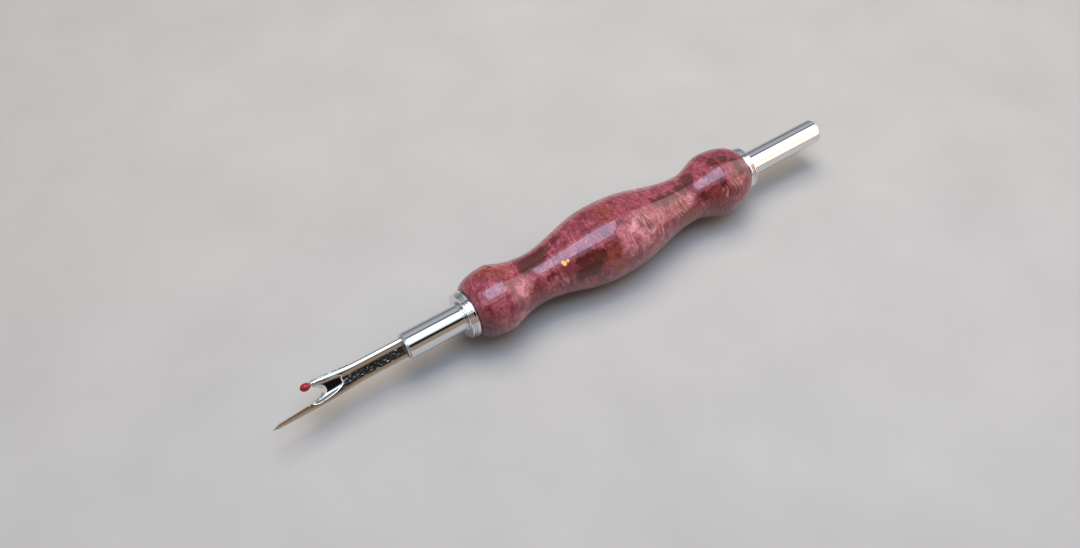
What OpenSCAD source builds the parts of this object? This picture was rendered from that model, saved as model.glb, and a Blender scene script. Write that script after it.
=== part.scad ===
// Double-ended seam ripper: a turned wooden handle with a reversible tool holder in each end.
// The tool axis lies along X, blade towards -X. The handle's swell rests on z = 0, and the
// origin is under the middle of the tool's whole length. All sizes are in millimetres.

/* [Handle] */
// Length of the turned handle between the two ferrules
handle_len = 85; // [84.8:0.2:95]
// Radius at the middle of the centre swell
swell_r = 10.27; // [9:0.05:12]
// Distance of the centre swell from the front end
swell_x = 41; // [39:0.2:44]
// Length of the straight land on the swell's crown, under the tool's centre of mass
swell_land = 2; // [1:0.2:4]
// Radius of the bead at the front end
front_bead_r = 8.8; // [7.6:0.05:9]
// Distance of the front bead from the front end
front_bead_x = 8.4; // [7:0.1:9.4]
// Radius of the bead at the rear end
rear_bead_r = 8.9; // [7.6:0.05:9]
// Distance of the rear bead from the rear end
rear_bead_back = 8.7; // [7:0.1:9.4]
// Radius in the two coves
cove_r = 6.52; // [6:0.02:7.2]
// Distance of the front cove from the front end
front_cove_x = 18.9; // [17:0.1:21]
// Distance of the rear cove from the rear end
rear_cove_back = 18.7; // [17:0.1:21]
// Radius of the handle's end faces
shoulder_r = 5.6; // [5.3:0.05:5.9]

/* [Ferrules] */
// Radius of the flange next to the handle
flange_r = 6.05; // [6:0.01:6.4]
// Length of the flange
flange_len = 1.65; // [1.5:0.05:2.2]
// Radius of the small outer ring
ring_r = 5.8; // [5.5:0.05:6]
// Length of the small outer ring
ring_len = 0.55; // [0.4:0.05:0.9]
// Width of the line turned between ring and flange
line_w = 0.15; // [0.1:0.01:0.3]
// Length of the stem pressed into the liner tube
stem_len = 6; // [4:0.5:10]

/* [Tool holders] */
// Outer radius of a holder's sleeve
holder_r = 3.5; // [3.4:0.01:3.5]
// Length of the holder's open half, from the collar to its mouth
open_len = 14.85; // [14:0.05:15.2]
// Length of the holder's closed half, from the collar to its end
closed_len = 25.15; // [20:0.05:26]
// Length of the stop collar between the halves
collar_len = 0.55; // [0.3:0.05:0.6]
// Radius of the stop collar
collar_r = 4.05; // [3.9:0.05:4.4]
// Rounding of the closed end
end_round = 0.9; // [0.3:0.1:1.5]

/* [Blades] */
// How far the large blade stands out of its holder
blade_reach = 35.6; // [30:0.2:35.8]
// How far the small blade stands out of its holder
small_reach = 23.4; // [20:0.2:23.4]
// Width of the blade's flattened shank
shank_w = 5.04; // [4.6:0.02:5.1]
// Thickness of the shank and fork
shank_t = 1.7; // [1.4:0.05:1.8]
// Half of the width over the two prongs
fork_half_w = 3.15; // [2.9:0.05:3.2]
// Radius of the safety bead on the short prong
safety_bead_r = 0.96; // [0.9:0.01:0.98]
// Turn of the large blade about the tool axis, as the tool is laid down
blade_roll = 40; // [0:5:90]

/* [Hidden] */
$fn = 96;

// Fits
liner_r = 4.5;
liner_wall = 0.4;
glue_gap = 0.02;
running_gap = 0.05;
ring_gap = 0.03;
stop_gap = 0.02;

// The sprung ring in each ferrule
grip_cord_r = 0.35;
grip_ring_r = holder_r + ring_gap + grip_cord_r;

// Bore of a holder and the plug in it
plug_r = 2.95;
plug_len = 11;
plug_proud = 0.45;
plug_nose = 0.25;
bore_floor = 2.4;
tang_len = 8.5;
slot_gap = 0.03;

// The fork of the large blade, measured from the holder's mouth; the small blade is in proportion
throat_share = 0.652;
spread_from_share = 0.33;
spread_to_share = 0.66;
bead_share = 0.697;
point_share = 0.945;
throat_r = 1.25;
throat_v = 0.15;
prong_end_w = 0.45;
point_v = 2.85;
bead_v = 2.5;
bead_long = 1.36;
bead_seat_angle = 60;
bead_pin_r = 0.4;
bead_pin_len = 1.2;
grind_tip_share = 0.447;
grind_r = 1.9;
grind_edge_t = 0.15;
fork_steps = 14;

ferrule_len = ring_len + line_w + flange_len;
tool_len = blade_reach + open_len + 2 * collar_len + 2 * stop_gap + 2 * ferrule_len + handle_len + closed_len;
axis_z = swell_r;
mouth_x = blade_reach - tool_len / 2;
front_face_x = mouth_x + open_len + collar_len + stop_gap;
handle_x = front_face_x + ferrule_len;
rear_face_x = handle_x + handle_len + ferrule_len;
rear_collar_x = rear_face_x + stop_gap;

// Places a shape drawn along +Z on the tool axis, at x, pointing towards the rear or the front
module along_axis(x, towards_rear = true) {
    translate([x, 0, axis_z]) rotate([0, towards_rear ? 90 : -90, 0]) children();
}

// ---- Handle -------------------------------------------------------------------------------

function ease(t) = (1 - cos(180 * t)) / 2;

// Radius between two stations; lean above 1 keeps the first radius for longer
function flow(t, r_from, r_to, lean) = r_from + (r_to - r_from) * ease(pow(t, lean));

// Profile points of one stretch between two stations, without the last one
function stretch(x_from, r_from, x_to, r_to, lean, steps) = [
    for (i = [0 : steps - 1])
        [flow(i / steps, r_from, r_to, lean), x_from + (x_to - x_from) * i / steps]
];

// Quarter-ellipse round from an end face up to the crown of the bead beside it
function front_round(steps) = [
    for (i = [0 : steps - 1]) let (a = 90 * i / steps)
        [shoulder_r + (front_bead_r - shoulder_r) * sin(a), front_bead_x * (1 - cos(a))]
];
function rear_round(steps) = [
    for (i = [0 : steps]) let (a = 90 * i / steps)
        [shoulder_r + (rear_bead_r - shoulder_r) * cos(a),
         handle_len - rear_bead_back * (1 - sin(a))]
];

module handle() {
    rear_cove_x = handle_len - rear_cove_back;
    rear_bead_x = handle_len - rear_bead_back;
    profile = concat(
        [[0, 0]],
        front_round(10),
        stretch(front_bead_x, front_bead_r, front_cove_x, cove_r, 0.6, 12),
        stretch(front_cove_x, cove_r, swell_x - swell_land / 2, swell_r, 0.93, 16),
        stretch(swell_x + swell_land / 2, swell_r, rear_cove_x, cove_r, 1.11, 18),
        stretch(rear_cove_x, cove_r, rear_bead_x, rear_bead_r, 1.25, 10),
        rear_round(10),
        [[0, handle_len]]
    );
    color([0.55, 0.16, 0.22]) along_axis(handle_x) difference() {
        rotate_extrude() polygon(profile);
        translate([0, 0, -1]) cylinder(r = liner_r + glue_gap, h = handle_len + 2);
    }
}

// Brass tube glued through the whole handle; the stored tools lie in it
module liner_tube() {
    color([0.78, 0.6, 0.26]) along_axis(handle_x) difference() {
        cylinder(r = liner_r, h = handle_len);
        translate([0, 0, -1]) cylinder(r = liner_r - liner_wall, h = handle_len + 2);
    }
}

// ---- Ferrules and grip rings --------------------------------------------------------------

// Turned end fitting, drawn from its outer face inwards: ring, turned line, flange, stem
module ferrule() {
    edge = 0.2;
    line_r = ring_r - 0.35;
    flange_z = ring_len + line_w;
    groove_z = flange_z + flange_len / 2;
    groove_w = 2 * grip_cord_r + 0.1;
    stem_r = liner_r - liner_wall - 0.01;
    color([0.82, 0.83, 0.86]) difference() {
        rotate_extrude() polygon(concat(
            [[0, 0], [ring_r - edge, 0], [ring_r, edge], [ring_r, ring_len - edge],
             [ring_r - edge, ring_len], [line_r, ring_len], [line_r, flange_z]],
            // the flange's rounded rim
            [for (i = [0 : 8]) let (a = -90 + 180 * i / 8)
                [flange_r - flange_len / 4 + flange_len / 4 * cos(a),
                 flange_z + flange_len / 2 * (1 + sin(a))]],
            [[stem_r, ferrule_len], [stem_r, ferrule_len + stem_len - edge],
             [stem_r - edge, ferrule_len + stem_len], [0, ferrule_len + stem_len]]
        ));
        translate([0, 0, -1]) cylinder(r = holder_r + running_gap, h = ferrule_len + stem_len + 2);
        translate([0, 0, groove_z - groove_w / 2])
            cylinder(r = grip_ring_r + grip_cord_r + 0.04, h = groove_w);
    }
}

// Rubber ring that sits in the ferrule's groove and grips the holder
module grip_ring() {
    color([0.1, 0.1, 0.11]) translate([0, 0, ring_len + line_w + flange_len / 2])
        rotate_extrude() translate([grip_ring_r, 0]) circle(r = grip_cord_r, $fn = 24);
}

module front_ferrule() {
    along_axis(front_face_x) ferrule();
}
module rear_ferrule() {
    along_axis(rear_face_x, false) ferrule();
}
module front_grip_ring() {
    along_axis(front_face_x) grip_ring();
}
module rear_grip_ring() {
    along_axis(rear_face_x, false) grip_ring();
}

// ---- Tool holders -------------------------------------------------------------------------

// Turned sleeve: open half below the collar, closed half above it. Drawn from its mouth upwards.
module holder() {
    whole = open_len + collar_len + closed_len;
    lip = 0.25;
    color([0.86, 0.87, 0.9]) difference() {
        rotate_extrude() polygon(concat(
            [[0, 0], [holder_r - lip, 0]],
            [for (i = [1 : 4]) let (a = 90 * i / 4)
                [holder_r - lip + lip * sin(a), lip * (1 - cos(a))]],
            [[holder_r, open_len], [collar_r - 0.1, open_len], [collar_r, open_len + 0.1],
             [collar_r, open_len + collar_len - 0.1], [collar_r - 0.1, open_len + collar_len],
             [holder_r, open_len + collar_len]],
            [for (i = [0 : 6]) let (a = 90 * i / 6)
                [holder_r - end_round * (1 - cos(a)), whole - end_round * (1 - sin(a))]],
            [[0, whole]]
        ));
        translate([0, 0, -1]) cylinder(r = plug_r + 0.01, h = plug_len + 1);
        translate([0, 0, plug_len - 1]) cylinder(r = plug_r - 0.35, h = whole - bore_floor - plug_len + 1);
    }
}

// Metal plug crimped into the holder's mouth round the blade's tang, drawn like the holder
module plug() {
    slot_depth = tang_len + slot_gap;
    color([0.7, 0.7, 0.72]) difference() {
        rotate_extrude() polygon([
            [0, -plug_proud], [plug_r - plug_nose, -plug_proud], [plug_r, plug_nose - plug_proud],
            [plug_r, plug_len], [0, plug_len]
        ]);
        translate([-shank_w / 2 - slot_gap, -shank_t / 2 - slot_gap, -1])
            cube([shank_w + 2 * slot_gap, shank_t + 2 * slot_gap, 1 + slot_depth]);
    }
}

// ---- Blades -------------------------------------------------------------------------------

// Edges of the fork as seen from its front: u runs from the mouth to the point, v is across.
// The short prong is on the +v side.
function outer_v(u, reach) =
    let (t = (u / reach - spread_from_share) / (spread_to_share - spread_from_share))
    shank_w / 2 + (fork_half_w - shank_w / 2) * ease(max(0, min(1, t)));

function long_edge(reach) = [
    for (i = [0 : fork_steps])
        let (u = reach * (spread_from_share + (point_share - spread_from_share) * i / fork_steps))
        [u, -outer_v(u, reach)]
];

function long_inner(reach) = [
    for (i = [fork_steps : -1 : 1])
        let (t = i / fork_steps, u = reach * (throat_share + (point_share - throat_share) * t))
        [u, throat_v - throat_r - 1.15 * pow(t, 0.75)]
];

function throat(reach) = [
    for (i = [0 : 12]) let (a = 270 - 180 * i / 12)
        [reach * throat_share + throat_r * cos(a), throat_v + throat_r * sin(a)]
];

// Where the short prong ends and the bead sits on it
function prong_end_u(reach) = reach * bead_share - bead_long * sin(bead_seat_angle);

function short_edge(reach) = [
    for (i = [fork_steps : -1 : 0])
        let (fork_u = reach * spread_from_share,
             u = fork_u + (prong_end_u(reach) - fork_u) * i / fork_steps,
             v = outer_v(u, reach))
        [u, v + (bead_v + prong_end_w - v) * pow(i / fork_steps, 6)]
];

// Flat steel blade lying in the u-v plane, u along +X: a flattened rod with round edges for a
// shank, then a fork with one long pointed prong and one short prong, hollow ground to a
// cutting edge in the throat between them
module ripper_blade(reach) {
    half_t = shank_t / 2;
    fork_t = shank_t - 0.2;
    fork_u = reach * spread_from_share;
    grind_u = reach * grind_tip_share;
    throat_u = reach * throat_share - throat_r;
    grind_slope = atan((fork_t - grind_edge_t) / (throat_u - grind_u));
    color([0.75, 0.75, 0.77]) difference() {
        union() {
            translate([-tang_len, 0, 0]) rotate([90, 0, 90])
                linear_extrude(tang_len + fork_u + 0.5) union() {
                    square([shank_w - shank_t, shank_t], center = true);
                    for (side = [-1, 1])
                        translate([side * (shank_w - shank_t) / 2, 0]) circle(r = half_t, $fn = 32);
                }
            translate([0, 0, -fork_t / 2]) linear_extrude(fork_t) polygon(concat(
                long_edge(reach),
                [[reach, -point_v]],
                long_inner(reach),
                throat(reach),
                [[prong_end_u(reach), bead_v - prong_end_w]],
                short_edge(reach)
            ));
            translate([prong_end_u(reach) - 0.1, bead_v, 0]) rotate([0, 90, 0])
                cylinder(r = bead_pin_r, h = bead_pin_len + 0.1, $fn = 32);
        }
        // the hollow grind: a cylinder that sinks into the front face towards the throat
        translate([grind_u, throat_v, fork_t / 2]) rotate([0, 90 + grind_slope, 0])
            translate([-grind_r, 0, -2]) cylinder(r = grind_r, h = reach);
    }
}

// Glossy ball over the end of the short prong
module safety_bead(reach) {
    steps = 16;
    sweep = 90 + bead_seat_angle;
    color([0.72, 0.08, 0.1]) difference() {
        translate([reach * bead_share, bead_v, 0]) rotate([0, 90, 0]) rotate_extrude()
            polygon(concat(
                [[0, -bead_long * sin(bead_seat_angle)]],
                [for (i = [0 : steps]) let (a = sweep * i / steps - bead_seat_angle)
                    [safety_bead_r * cos(a), bead_long * sin(a)]]
            ));
        translate([prong_end_u(reach) - 1, bead_v, 0]) rotate([0, 90, 0])
            cylinder(r = bead_pin_r + glue_gap, h = bead_pin_len + glue_gap + 1, $fn = 32);
    }
}

// ---- Front tool, in use -------------------------------------------------------------------

module front_tool() {
    translate([mouth_x, 0, axis_z]) rotate([blade_roll, 0, 0]) mirror([1, 0, 0]) children();
}
module front_holder() {
    along_axis(mouth_x) holder();
}
module front_plug() {
    translate([mouth_x, 0, axis_z]) rotate([blade_roll + 90, 0, 0]) rotate([0, 90, 0]) plug();
}
module large_blade() {
    front_tool() ripper_blade(blade_reach);
}
module large_blade_bead() {
    front_tool() safety_bead(blade_reach);
}

// ---- Rear tool, stored in the handle --------------------------------------------------------

stored_mouth_x = rear_collar_x - open_len;
module rear_tool() {
    translate([stored_mouth_x, 0, axis_z]) mirror([1, 0, 0]) children();
}
module rear_holder() {
    along_axis(stored_mouth_x) holder();
}
module rear_plug() {
    translate([stored_mouth_x, 0, axis_z]) rotate([90, 0, 0]) rotate([0, 90, 0]) plug();
}
module small_blade() {
    rear_tool() ripper_blade(small_reach);
}
module small_blade_bead() {
    rear_tool() safety_bead(small_reach);
}

handle();
liner_tube();
front_ferrule();
rear_ferrule();
front_grip_ring();
rear_grip_ring();
front_holder();
front_plug();
large_blade();
large_blade_bead();
rear_holder();
rear_plug();
small_blade();
small_blade_bead();
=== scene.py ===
# %% [markdown]
# # A double-ended seam ripper
# The tool is a turned wooden handle with a chromed sleeve at each end. The front sleeve holds
# the forked blade; the rear one is put in the other way round, so its blade lies in the handle.
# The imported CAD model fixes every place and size. This script gives each piece its finished
# surface: smooth turned forms, a ground blade and the finishes of a well-used tool.

# %% Load the frame
import math

import bmesh
import bpy
import numpy as np
from mathutils import Matrix, Vector


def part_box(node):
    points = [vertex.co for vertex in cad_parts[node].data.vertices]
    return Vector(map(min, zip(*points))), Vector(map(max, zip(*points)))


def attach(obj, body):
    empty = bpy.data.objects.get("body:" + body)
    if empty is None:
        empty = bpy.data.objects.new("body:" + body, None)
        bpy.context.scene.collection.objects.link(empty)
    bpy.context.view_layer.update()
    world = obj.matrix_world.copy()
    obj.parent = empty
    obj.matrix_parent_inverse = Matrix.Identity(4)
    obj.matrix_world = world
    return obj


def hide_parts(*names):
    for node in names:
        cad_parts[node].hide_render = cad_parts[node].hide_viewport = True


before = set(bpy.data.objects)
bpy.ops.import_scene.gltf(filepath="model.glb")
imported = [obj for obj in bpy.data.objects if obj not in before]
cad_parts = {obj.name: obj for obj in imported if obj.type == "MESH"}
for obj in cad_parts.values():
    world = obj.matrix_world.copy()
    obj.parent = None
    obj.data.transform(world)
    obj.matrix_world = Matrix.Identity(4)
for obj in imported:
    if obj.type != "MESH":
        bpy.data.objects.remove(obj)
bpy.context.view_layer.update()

MM = 0.001

# %% [markdown]
# ## The camera
# A small tool is best shown from close by and from above, like something laid on a bench. The
# camera is placed by the two angles of its line of sight and its distance from a point on the
# tool's axis, so that the framing can be changed one number at a time.

# %% Camera
AXIS_Z = (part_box("handle")[0].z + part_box("handle")[1].z) / 2
VIEW_AZIMUTH = math.radians(-33.86)
VIEW_ELEVATION = math.radians(52.06)
VIEW_DISTANCE = 250.4 * MM
aim = Vector((-9.0 * MM, 0.3 * MM, AXIS_Z))

sight = Vector((
    -math.sin(VIEW_AZIMUTH) * math.cos(VIEW_ELEVATION),
    math.cos(VIEW_AZIMUTH) * math.cos(VIEW_ELEVATION),
    -math.sin(VIEW_ELEVATION),
))


def put_in_scene(name, data):
    """Makes an object of mesh, camera or light data and links it into the scene."""
    thing = bpy.data.objects.new(name, data)
    bpy.context.scene.collection.objects.link(thing)
    return thing


camera_data = bpy.data.cameras.new("bench_camera")
camera_data.sensor_width = 36.0
camera_data.lens = 33.33
camera_data.clip_start = 0.01
camera = put_in_scene("bench_camera", camera_data)
camera.location = aim - sight * VIEW_DISTANCE
camera.rotation_euler = sight.to_track_quat("-Z", "Y").to_euler()
bpy.context.scene.camera = camera
print("camera at", [round(c, 4) for c in camera.location])

# %% [markdown]
# ## Turning a profile
# Nearly everything here comes off a lathe, so one helper turns a profile round the tool's axis.
# A profile is a list of corners: distance along the axis, radius, and how far the corner is
# rounded. Real turned edges always carry a small rounding, and it is what catches the light.
# Blender's Spin or a Screw modifier would do the same; plain vertex rings keep the mesh clean
# and let every ring be counted.

# %% Profile and lathe helpers
def soften(corners, steps=5):
    """Replaces each corner (along, radius, rounding) by a short curve, all in millimetres."""
    points = []
    count = len(corners)
    for i, (along, radius, rounding) in enumerate(corners):
        here = Vector((along, radius))
        before = Vector(corners[(i - 1) % count][:2])
        after = Vector(corners[(i + 1) % count][:2])
        reach = min(rounding, 0.45 * (before - here).length, 0.45 * (after - here).length)
        if reach < 1e-4:
            points.append((along, radius))
            continue
        start = here + (before - here).normalized() * reach
        end = here + (after - here).normalized() * reach
        for k in range(steps + 1):
            t = k / steps
            spot = start.lerp(here, t).lerp(here.lerp(end, t), t)
            points.append((spot.x, spot.y))
    return points


def finish_mesh(piece, sharp_degrees=40):
    """Merges touching points, turns the faces outwards and shades smooth between sharp edges."""
    bm = bmesh.new()
    bm.from_mesh(piece.data)
    bmesh.ops.remove_doubles(bm, verts=bm.verts, dist=2e-7)
    bmesh.ops.dissolve_degenerate(bm, edges=bm.edges, dist=1e-8)
    bmesh.ops.recalc_face_normals(bm, faces=bm.faces)
    for face in bm.faces:
        face.smooth = True
    limit = math.radians(sharp_degrees)
    for edge in bm.edges:
        edge.smooth = edge.calc_face_angle(0.0) < limit
    bm.to_mesh(piece.data)
    bm.free()


def lathe(name, profile, x_start, towards_rear=True, around=144, axis=None):
    """Turns a closed loop of (along, radius) in millimetres round the tool's axis."""
    side = 1 if towards_rear else -1
    centre_y, centre_z = axis or (0.0, AXIS_Z)
    angles = [2 * math.pi * k / around for k in range(around)]
    verts = []
    for along, radius in profile:
        for a in angles:
            verts.append((x_start + side * along * MM,
                          centre_y + radius * MM * math.cos(a),
                          centre_z + radius * MM * math.sin(a)))
    faces = []
    rings = len(profile)
    for i in range(rings):
        j = (i + 1) % rings
        if profile[i][1] == 0 and profile[j][1] == 0:
            continue
        for k in range(around):
            n = (k + 1) % around
            faces.append((i * around + k, i * around + n, j * around + n, j * around + k))
    mesh = bpy.data.meshes.new(name)
    mesh.from_pydata(verts, [], faces)
    piece = put_in_scene(name, mesh)
    finish_mesh(piece)
    print(name, "has", len(piece.data.vertices), "points")
    return piece


# %% [markdown]
# ## The handle's profile
# The handle was cut freehand with a gouge: bead, cove, long swell, cove, bead. Between two
# stations the curve starts and ends level, so a cosine blend draws it. The lean bends that
# blend towards one station, because a cove falls quickly off its bead and then runs out slowly.

# %% Handle
handle_low, handle_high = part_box("handle")
HANDLE_LEN = (handle_high.x - handle_low.x) / MM
SWELL_R = (handle_high.z - handle_low.z) / 2 / MM
FRONT_BEAD = (8.4, 8.8)
FRONT_COVE = (18.9, 6.52)
SWELL_FRONT = (40.0, SWELL_R)
SWELL_REAR = (42.0, SWELL_R)
REAR_COVE = (HANDLE_LEN - 18.7, 6.52)
REAR_BEAD = (HANDLE_LEN - 8.7, 8.9)
SHOULDER_R = 5.6
BORE_R = 4.52
# Lean of each blend: under 1 it leaves its first station early, over 1 it lingers there
BEAD_FALL = 0.6
SWELL_RISE = 0.93
SWELL_FALL = 1.11
BEAD_RISE = 1.25


def ease(t):
    """Level at both ends, steepest in the middle."""
    return (1 - math.cos(math.pi * t)) / 2


def stretch(start, end, lean, steps):
    """Profile points between two stations (along, radius), without the last one."""
    points = []
    for i in range(steps):
        t = i / steps
        along = start[0] + (end[0] - start[0]) * t
        points.append((along, start[1] + (end[1] - start[1]) * ease(t ** lean)))
    return points


def quarter_round(end_along, bead, steps, closing):
    """Elliptical quarter between an end face and the crown of its bead."""
    points = []
    for i in range(steps + 1):
        a = math.pi / 2 * i / steps
        rise = math.cos(a) if closing else math.sin(a)
        travel = math.sin(a) if closing else math.cos(a)
        along = bead[0] + (end_along - bead[0]) * travel
        points.append((along, SHOULDER_R + (bead[1] - SHOULDER_R) * rise))
    return points


def handle_profile():
    outside = quarter_round(0.0, FRONT_BEAD, 20, closing=False)[:-1]
    outside += stretch(FRONT_BEAD, FRONT_COVE, BEAD_FALL, 32)
    outside += stretch(FRONT_COVE, SWELL_FRONT, SWELL_RISE, 44)
    outside += stretch(SWELL_REAR, REAR_COVE, SWELL_FALL, 50)
    outside += stretch(REAR_COVE, REAR_BEAD, BEAD_RISE, 28)
    outside += quarter_round(HANDLE_LEN, REAR_BEAD, 20, closing=True)
    return outside + [(HANDLE_LEN, BORE_R), (0.0, BORE_R)]


handle = lathe("turned_handle", handle_profile(), handle_low.x, around=176)
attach(handle, "handle_body")
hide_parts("handle")

# %% [markdown]
# ## Ferrules
# Each ferrule is one brass turning under chrome: two small rings with cut lines behind them, a
# rounded flange against the wood, and a stem inside the handle. The bright rings of light at the
# ends of the handle come from the roundings, so every corner has its own.

# %% Ferrules
RING_R = 5.8
RING_LEN = 0.55
LINE_W = 0.15
LINE_DEPTH = 0.35
SECOND_RING_R = 5.88
SECOND_RING_LEN = 0.42
SECOND_LINE_R = 5.57
GAP_W = 0.14
FLANGE_R = 6.05
# Length of the second ring, its line and the flange together
FLANGE_LEN = 1.65
HOLDER_BORE_R = 3.55
STEM_R = 4.09
GROOVE_R = 4.27
GROOVE_W = 0.8


def ferrule_profile(whole):
    """Closed loop from the outer face's bore edge, over the outside, and back through the bore."""
    second_start = RING_LEN + LINE_W
    flange_end = second_start + FLANGE_LEN
    groove_front = second_start + (FLANGE_LEN - GROOVE_W) / 2
    groove_rear = groove_front + GROOVE_W
    second_end = second_start + SECOND_RING_LEN
    flange_start = second_end + LINE_W
    back_edge = flange_end - GAP_W
    line_r = RING_R - LINE_DEPTH
    return soften([
        (0, HOLDER_BORE_R, 0.08), (0, RING_R, 0.22), (RING_LEN, RING_R, 0.18),
        (RING_LEN, line_r, 0.03), (second_start, line_r, 0.03),
        (second_start, SECOND_RING_R, 0.18), (second_end, SECOND_RING_R, 0.18),
        (second_end, SECOND_LINE_R, 0.03), (flange_start, SECOND_LINE_R, 0.03),
        (flange_start, FLANGE_R, 0.36), (back_edge, FLANGE_R, 0.36),
        (back_edge, line_r, 0.02), (flange_end, line_r, 0),
        (flange_end, STEM_R, 0), (whole, STEM_R, 0.15), (whole, HOLDER_BORE_R, 0),
        (groove_rear, HOLDER_BORE_R, 0), (groove_rear, GROOVE_R, 0),
        (groove_front, GROOVE_R, 0), (groove_front, HOLDER_BORE_R, 0),
    ], steps=8)


front_low, front_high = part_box("front_ferrule")
rear_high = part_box("rear_ferrule")[1]
ferrule_whole = (front_high.x - front_low.x) / MM
front_ferrule = lathe("front_end_fitting", ferrule_profile(ferrule_whole), front_low.x)
rear_ferrule = lathe("rear_end_fitting", ferrule_profile(ferrule_whole), rear_high.x,
                     towards_rear=False)
for piece, node in ((front_ferrule, "front_ferrule"), (rear_ferrule, "rear_ferrule")):
    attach(piece, "handle_body")
    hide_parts(node)

# %% [markdown]
# ## Tool holders
# Both ends use the same sleeve: an open half with the blade, a stop collar, and a closed half.
# Only its direction differs, so one profile makes both. The mouth has a rolled lip, the closed
# end a soft rounding that shows as a thin bright ring.

# %% Tool holders
HOLDER_R = 3.5
COLLAR_R = 4.05
OPEN_LEN = 14.85
COLLAR_LEN = 0.55
PLUG_R = 2.95
PLUG_LEN = 11.0
CAVITY_R = 2.6
MOUTH_STEP = 0.16
END_WALL = 2.4


def holder_profile(whole):
    """Closed loop from the mouth's bore edge, over the outside, round the end, down the bore."""
    collar_end = OPEN_LEN + COLLAR_LEN
    return soften([
        (MOUTH_STEP, PLUG_R, 0.03), (0, PLUG_R + 0.14, 0.04), (0, HOLDER_R, 0.26),
        (OPEN_LEN, HOLDER_R, 0.03), (OPEN_LEN, COLLAR_R, 0.12), (collar_end, COLLAR_R, 0.12),
        (collar_end, HOLDER_R, 0.03), (whole, HOLDER_R, 0.95), (whole, 0, 0),
        (whole - END_WALL, 0, 0), (whole - END_WALL, CAVITY_R, 0),
        (PLUG_LEN, CAVITY_R, 0), (PLUG_LEN, PLUG_R, 0),
    ], steps=8)


sleeve_low, sleeve_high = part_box("front_holder")
holder_whole = (sleeve_high.x - sleeve_low.x) / MM
front_mouth_x = sleeve_low.x
rear_mouth_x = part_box("rear_holder")[0].x
for name, node, body, mouth_x in (
    ("front_sleeve", "front_holder", "front_tool_body", front_mouth_x),
    ("rear_sleeve", "rear_holder", "rear_tool_body", rear_mouth_x),
):
    sleeve = lathe(name, holder_profile(holder_whole), mouth_x, around=160)
    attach(sleeve, body)
    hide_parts(node)

# %% [markdown]
# ## The forked blade
# The blade is a steel rod pressed flat, so its edges stay round, then forked at the end. A
# grinding wheel sinks a hollow into the front face towards the throat and leaves an oval
# border, and a second, steeper bevel makes the cutting edge. Modelling this by hand with loop
# cuts is slow. Here the front is a height over the blade's plane: the lowest of three surfaces,
# the round-edged rod, the hollow and the bevel. A grid whose columns run down the shank and
# part round the throat carries these heights, so that the edges stay crisp.

# %% Blade outline
# Shares of the reach, from the holder's mouth (0) to the point (1)
SPREAD_FROM = 0.33
SPREAD_TO = 0.66
THROAT = 0.652
POINT_BEVEL = 0.945
BEAD_AT = 0.697
HOLLOW_FROM = 0.447

TANG = 8.5
SHANK_HALF_W = 2.52
SHANK_HALF_T = 0.85
FORK_HALF_W = 3.15
FORK_HALF_T = 0.75
THROAT_R = 1.25
THROAT_V = 0.15
POINT_V = -2.85
BEAD_V = 2.5
BEAD_HALF_LEN = 1.33
BEAD_R = 0.96
NECK_R = 0.4
NECK_LEN = 0.35
NECK_SEAT = 1.178
SEAT_HALF_W = 0.45
PRONG_CLOSE = 0.3
LONG_PRONG_OPEN = 0.95
LONG_PRONG_THINNING = 0.2


def smooth(t):
    """The same blend as ease, for arrays, held at its ends."""
    t = np.clip(t, 0, 1)
    return t * t * (3 - 2 * t)


def outer_half_width(u, reach):
    """Half-width of the shank, widening into the fork."""
    t = (u / reach - SPREAD_FROM) / (SPREAD_TO - SPREAD_FROM)
    return SHANK_HALF_W + (FORK_HALF_W - SHANK_HALF_W) * smooth(t)


def long_prong(u, reach):
    """Inner edge, outer edge and half-thickness of the long prong."""
    start, bevel = THROAT * reach, POINT_BEVEL * reach
    t = np.clip((u - start) / (bevel - start), 0, 1)
    inner = THROAT_V - THROAT_R - LONG_PRONG_OPEN * t ** 0.75
    outer = -outer_half_width(u, reach)
    half_t = FORK_HALF_T - LONG_PRONG_THINNING * smooth(t)
    to_point = np.clip((u - bevel) / (reach - bevel), 0, 1)
    inner = inner + (POINT_V - inner) * to_point
    outer = outer + (POINT_V - outer) * to_point ** 1.6
    half_t = half_t * (1 - to_point ** 1.5)
    return inner, outer, half_t


def short_prong(u, reach):
    """The same for the short prong, which ends as a thin neck inside the safety bead."""
    start, bead = THROAT * reach, BEAD_AT * reach
    seat = bead - NECK_SEAT
    t = np.clip((u - start) / (seat - start), 0, 1)
    neck = np.clip((u - seat) / NECK_LEN, 0, 1)
    inner = THROAT_V + THROAT_R + (BEAD_V - SEAT_HALF_W - THROAT_V - THROAT_R) * t ** 0.7
    outer = outer_half_width(u, reach)
    outer = outer + (BEAD_V + 0.5 - outer) * t ** 2
    inner = inner + (BEAD_V - NECK_R - inner) * neck
    outer = outer + (BEAD_V + NECK_R - outer) * neck
    half_t = FORK_HALF_T + (NECK_R - FORK_HALF_T) * smooth(0.5 * t + 0.5 * neck)
    closing = np.clip((u - bead) / PRONG_CLOSE, 0, 1)
    inner = inner + (BEAD_V - inner) * closing
    outer = outer + (BEAD_V - outer) * closing
    return inner, outer, half_t * (1 - closing)


# %% Blade heights
# The rod's round rim, and how much wider and deeper it gets on the prongs
RIM_W = 1.15
RIM_FALL = 0.24
LOW_SIDE_LEAN = 1.9
PRONG_RIM_WIDER = 0.6
PRONG_RIM_DEEPER = 1.1
CORNER_R = 0.42

# The pressed face; it runs out at a share of the reach
FACE_DROP = 0.19
FACE_EDGE_V = 1.60
FACE_EDGE_W = 1.15
FACE_RUNS_OUT = 0.42
FACE_FADE = 0.16

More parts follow.
